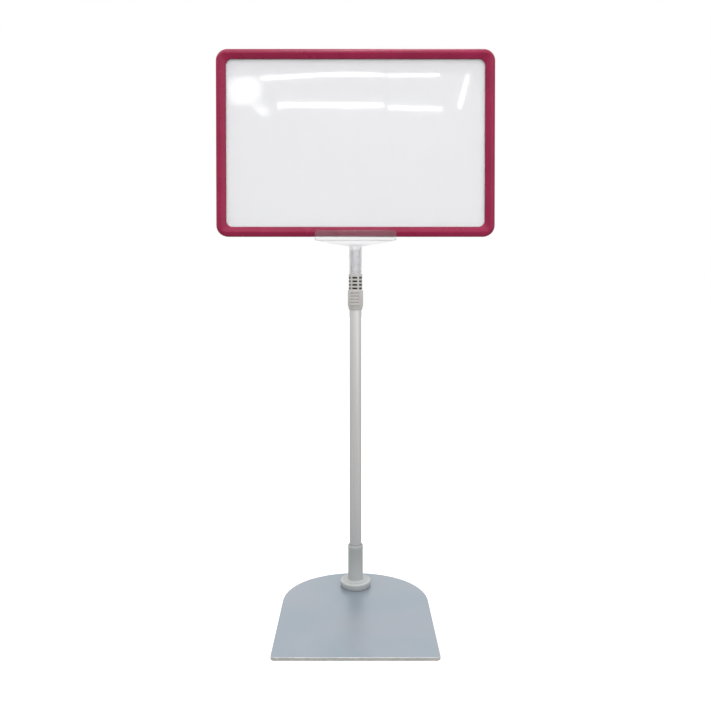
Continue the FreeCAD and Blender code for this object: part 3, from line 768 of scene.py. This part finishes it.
socket_low, socket_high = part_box("base_socket")
socket_top = socket_high.z / MM
flange_radius = (socket_high.x - socket_low.x) / 2 / MM
plate_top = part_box("base_plate")[1].z / MM
tube_radius = (tube_high.x - tube_low.x) / 2 / MM
tube_foot = tube_low.z / MM
flange_top = socket_low.z / MM + 6.7
neck_foot_z = flange_top - 0.35
socket_bm = turned([
    (SCREW_HOLE, plate_top),
    (flange_radius - 0.7, plate_top),
    (flange_radius, plate_top + 1.6),
    (flange_radius, flange_top),
    (NECK_FOOT, neck_foot_z),
    (NECK, flange_top + 1.4),
    (NECK - 0.08, socket_top - 4.4),
    (MOUTH, socket_top - 4.0),
    (MOUTH, socket_top),
    (tube_radius + 0.55, socket_top),
    (tube_radius + BORE_PLAY, socket_top - 1.4),
    (tube_radius + BORE_PLAY, tube_foot),
    (SCREW_HOLE, tube_foot),
])
soften(socket_bm, 1.7, 6, 12, ring_at(flange_radius, flange_top))
soften(socket_bm, 0.9, 4, 12, ring_at(NECK_FOOT, neck_foot_z))
soften(socket_bm, 0.6, 3, 12, ring_at(MOUTH, socket_top))
soften(socket_bm, 0.12, 2, 25)
finish_piece("pole_socket", socket_bm, grey_moulding, "grey_moulding", "base", "base_socket")

# %% [markdown]
# ## Tubes
# Drawn tube is a plain ring with its cut ends deburred. Each is turned, and the end corners get a
# small radius that catches the light.

# %% Tubes
def drawn_tube(name, node, wall, material, slot, body):
    low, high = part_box(node)
    outer = (high.x - low.x) / 2 / MM
    bm = turned([(outer - wall, low.z / MM), (outer, low.z / MM),
                 (outer, high.z / MM), (outer - wall, high.z / MM)])
    soften(bm, 0.2, segments=2)
    finish_piece(name, bm, material, slot, body, node)


drawn_tube("lower_tube", "outer_tube", 0.9, satin_outer, "tube_aluminium", "base")
drawn_tube("upper_tube", "inner_tube", 0.8, satin_inner, "inner_aluminium", "mast")

# %% [markdown]
# ## Clamp
# The clamp's cage and its ribbed slider are small mouldings whose windows and thumb ribs come from
# CAD. A merged copy with a bevel on each edge gives them the soft corners of moulded plastic.

# %% Clamp cage and slider
cage_bm = merged_copy("lock_cage")
soften(cage_bm, 0.14, segments=2)
finish_piece("clamp_cage", cage_bm, lock_plastic, "lock_plastic", "base", "lock_cage")

slider_bm = merged_copy("lock_collar")
soften(slider_bm, 0.22, segments=2)
finish_piece("clamp_slider", slider_bm, lock_plastic, "lock_plastic", "collar", "lock_collar")

# %% [markdown]
# ## Clear T-piece
# A clear moulding is seen through, so its mesh has to be one closed skin with no hidden walls. The
# merged CAD solid is exactly that, and soft edges make the bright lines along its lips.

# %% Clear T-piece
tee_bm = merged_copy("t_holder")
soften(tee_bm, 0.16, segments=2)
finish_piece("clear_tee", tee_bm, clear_moulding, "clear_plastic", "head", "t_holder")

# %% [markdown]
# ## Frame halves
# The front of the frame is roof-shaped: one slope looks outwards, one inwards, and they meet in a
# soft ridge that turns the corners more tightly than the outline does. That is a stack of rounded
# rectangles, each a flat face with its corners bevelled, joined ring to ring by bridging. Bridging
# can twist two rings that lie in one plane, so the rings are joined in an evenly spaced stack first,
# and each then moves to its own depth.

# %% One rounded rectangle as a ring of edges
CORNER_SEGMENTS = 12
BAR = 10.35
outer_x = front_high.x / MM


def ring(bm, half_width, low_z, high_z, radius, y):
    """A rounded rectangle's edges, in millimetres, at a distance y from the parting plane."""
    others = set(bm.faces)
    corners = bmesh.ops.create_grid(bm, x_segments=1, y_segments=1, size=0.5)["verts"]
    height = high_z - low_z
    bmesh.ops.scale(bm, vec=(2 * half_width * MM, height * MM, 1), verts=corners)
    bmesh.ops.rotate(bm, cent=(0, 0, 0), matrix=Matrix.Rotation(math.pi / 2, 3, "X"), verts=corners)
    centre = Vector((0, parting_y + y * MM, (low_z + high_z) / 2 * MM))
    bmesh.ops.translate(bm, vec=centre, verts=corners)
    bmesh.ops.bevel(bm, geom=corners, offset=radius * MM, offset_type="OFFSET",
                    segments=CORNER_SEGMENTS, profile=0.5, affect="VERTICES", material=-1)
    face = next(item for item in bm.faces if item not in others)
    edges = list(face.edges)
    bmesh.ops.delete(bm, geom=[face], context="FACES_ONLY")
    return edges


def inset_ring(bm, inset, radius, y):
    """A ring that follows the frame's outline at an inset."""
    low, high = frame_low_z / MM, frame_high_z / MM
    return ring(bm, outer_x - inset, low + inset, high - inset, radius, y)


# %% Sizes of the rings and of the card's room
RECESS = 1.4
RING_GAP = 1.0
ROOM_HALF_WIDTH = 140.7
ROOM_LOW_Z = 379.0
ROOM_TOP_Z = 561.5
ROOM_CORNER = 0.4
OUTER_CORNER = 12.0
WINDOW_CORNER = 6.5
print(f"room for the card: {2 * ROOM_HALF_WIDTH:.1f} mm wide, from z {ROOM_LOW_Z} to {ROOM_TOP_Z} mm")


# %% Join rings and raise the rim round the card's room
def frame_half(profile, back):
    """A frame half from (inset, corner radius, depth) rings, with a rim that meets the other half."""
    bm = bmesh.new()
    stack = [inset_ring(bm, inset, radius, RING_GAP * number)
             for number, (inset, radius, depth) in enumerate(profile)]
    stack.append(ring(bm, ROOM_HALF_WIDTH, ROOM_LOW_Z, ROOM_TOP_Z, ROOM_CORNER,
                      RING_GAP * len(profile)))
    levels = [{vert for edge in edges for vert in edge.verts} for edges in stack]
    for first, second in zip(stack, stack[1:] + stack[:1]):
        land = bmesh.ops.bridge_loops(bm, edges=first + second)["faces"]
    for level, depth in zip(levels, [step[2] for step in profile] + [back]):
        for vert in level:
            vert.co.y = parting_y + depth * MM
    rim = [face for face in land
           if all(vert.co.z < (ROOM_TOP_Z + 0.5) * MM for vert in face.verts)]
    raised = bmesh.ops.extrude_face_region(bm, geom=rim)
    verts = [item for item in raised["geom"] if isinstance(item, bmesh.types.BMVert)]
    bmesh.ops.translate(bm, vec=(0, -back * MM, 0), verts=verts)
    bmesh.ops.delete(bm, geom=[face for face in rim if face.is_valid], context="FACES")
    bmesh.ops.remove_doubles(bm, verts=bm.verts, dist=0.001 * MM)
    bmesh.ops.recalc_face_normals(bm, faces=bm.faces)
    open_edges = [edge for edge in bm.edges if not edge.is_manifold]
    print("open edges in a frame half:", len(open_edges))
    return bm


# %% Front half, roof-shaped
front_bm = frame_half([
    (0.0, OUTER_CORNER, -RECESS),
    (0.0, OUTER_CORNER, -2.3),
    (0.35, 11.4, -2.9),
    (1.3, 10.0, -3.75),
    (2.6, 8.0, -4.55),
    (3.8, 6.0, -5.05),
    (4.6, 4.8, -5.2),
    (5.5, 4.2, -5.05),
    (7.0, 4.8, -4.45),
    (8.6, 5.8, -3.7),
    (9.7, 6.3, -3.15),
    (10.15, 6.45, -2.8),
    (BAR, WINDOW_CORNER, -2.4),
    (BAR, WINDOW_CORNER, -RECESS),
], -RECESS)
finish_piece("frame_front", front_bm, crimson, "crimson_plastic", "head", "front_frame")

# %% [markdown]
# ### Rear half
# The rear half is flat behind, with a shallow step where it was pressed into the mould. The same
# stack of rings makes it, with depths that go the other way.

# %% Rear half, flat with a stepped edge
rear_bm = frame_half([
    (0.0, OUTER_CORNER, RECESS),
    (0.0, OUTER_CORNER, 2.7),
    (0.3, 11.7, 3.3),
    (1.0, 11.0, 3.6),
    (3.2, 9.6, 3.6),
    (3.6, 9.3, 3.2),
    (8.2, 7.2, 3.2),
    (8.6, 7.0, 3.6),
    (9.7, 6.8, 3.6),
    (BAR, WINDOW_CORNER, 3.1),
    (BAR, WINDOW_CORNER, RECESS),
], RECESS)
finish_piece("frame_rear", rear_bm, crimson, "crimson_plastic", "head", "rear_frame")

# %% [markdown]
# ## Clear pocket
# The pocket is one clear sheet folded along its lower edge. A folded sheet never lies quite flat:
# it bows between its edges by a few tenths of a millimetre, which is what bends the long highlights.
# A grid is bowed by two slow waves that die out at the edges, spun round the fold, and thickened.

# %% How the front leaf bows
BOW = 0.34
DENT = 0.035
DENT_PLACE = (0.18, 0.71)
DENT_REACH = (11 / 280, 8 / 182)


def bowed(share_x, share_z):
    """How far the front leaf sinks towards the card, in millimetres, at shares of its width and height."""
    across = math.sin(math.pi * min(1.0, max(0.0, share_x)))
    upwards = math.sin(math.pi * min(1.0, max(0.0, share_z)))
    wave = 0.62 + 0.22 * math.sin(2 * math.pi * (1.1 * share_z + 0.4 * share_x) + 0.6)
    ripple = 0.10 * math.sin(2 * math.pi * (1.7 * share_x - 0.6 * share_z))
    reach = (((share_x - DENT_PLACE[0]) / DENT_REACH[0]) ** 2
             + ((share_z - DENT_PLACE[1]) / DENT_REACH[1]) ** 2)
    return BOW * across * upwards * (wave + ripple) + DENT * math.exp(-reach)


print(f"bow in the middle of the leaf: {bowed(0.5, 0.5):.2f} mm")

# %% Front leaf as a flat grid
POCKET_GAP = 1.14
SHEET_THICK = 0.38
POCKET_COLUMNS, POCKET_ROWS = 112, 80
REAR_ROWS = 20
FOLD_STEPS = 8

pocket_low, pocket_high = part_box("card_pocket")
fold_z = pocket_low.z + (POCKET_GAP + SHEET_THICK / 2) * MM
pocket_bm = bmesh.new()
bmesh.ops.create_grid(pocket_bm, x_segments=POCKET_COLUMNS, y_segments=POCKET_ROWS, size=0.5)
pocket_width = pocket_high.x - pocket_low.x
pocket_height = pocket_high.z - fold_z
bmesh.ops.scale(pocket_bm, vec=(pocket_width, pocket_height, 1), verts=pocket_bm.verts)
bmesh.ops.rotate(pocket_bm, cent=(0, 0, 0), matrix=Matrix.Rotation(math.pi / 2, 3, "X"),
                 verts=pocket_bm.verts)
bmesh.ops.translate(pocket_bm, vec=(0, parting_y - POCKET_GAP * MM, fold_z + pocket_height / 2),
                    verts=pocket_bm.verts)
front_leaf = list(pocket_bm.verts)
print("front leaf:", len(front_leaf), "points")

# %% Fold, rear leaf, bow and thickness
fold_edges = [edge for edge in pocket_bm.edges
              if all(abs(vert.co.z - fold_z) < 0.01 * MM for vert in edge.verts)]
spun = bmesh.ops.spin(pocket_bm, geom=fold_edges, cent=(0, parting_y, fold_z), axis=(1, 0, 0),
                      angle=math.pi, steps=FOLD_STEPS)
rear_edges = [item for item in spun["geom_last"] if isinstance(item, bmesh.types.BMEdge)]
for row in range(REAR_ROWS):
    grown = bmesh.ops.extrude_edge_only(pocket_bm, edges=rear_edges)["geom"]
    rear_edges = [item for item in grown if isinstance(item, bmesh.types.BMEdge)]
    moved = [item for item in grown if isinstance(item, bmesh.types.BMVert)]
    bmesh.ops.translate(pocket_bm, vec=(0, 0, pocket_height / REAR_ROWS), verts=moved)
for vert in front_leaf:
    share_x = (vert.co.x - pocket_low.x) / pocket_width
    share_z = (vert.co.z - fold_z) / pocket_height
    vert.co.y += bowed(share_x, share_z) * MM
bmesh.ops.recalc_face_normals(pocket_bm, faces=pocket_bm.faces)
bmesh.ops.solidify(pocket_bm, geom=pocket_bm.faces, thickness=SHEET_THICK * MM)
bmesh.ops.recalc_face_normals(pocket_bm, faces=pocket_bm.faces)
finish_piece("clear_pocket", pocket_bm, clear_sheet, "clear_sheet", "pocket", "card_pocket", sharp=50)

# %% [markdown]
# ## CAD nodes that keep their shape
# The screw, the nut, the plugs and the card are plain and exact in CAD already, so they only take
# their finishes.

# %% Finishes for kept CAD nodes
kept_finishes = {
    "base_screw": bright_zinc,
    "base_nut": bright_zinc,
    "grip_liner": black_rubber,
    "guide_bush": white_plastic,
    "tube_cap": white_plastic,
    "sign_card": white_card,
}
for node, material in kept_finishes.items():
    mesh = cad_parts[node].data
    mesh.materials.clear()
    mesh.materials.append(material)
print("kept CAD nodes:", ", ".join(kept_finishes))
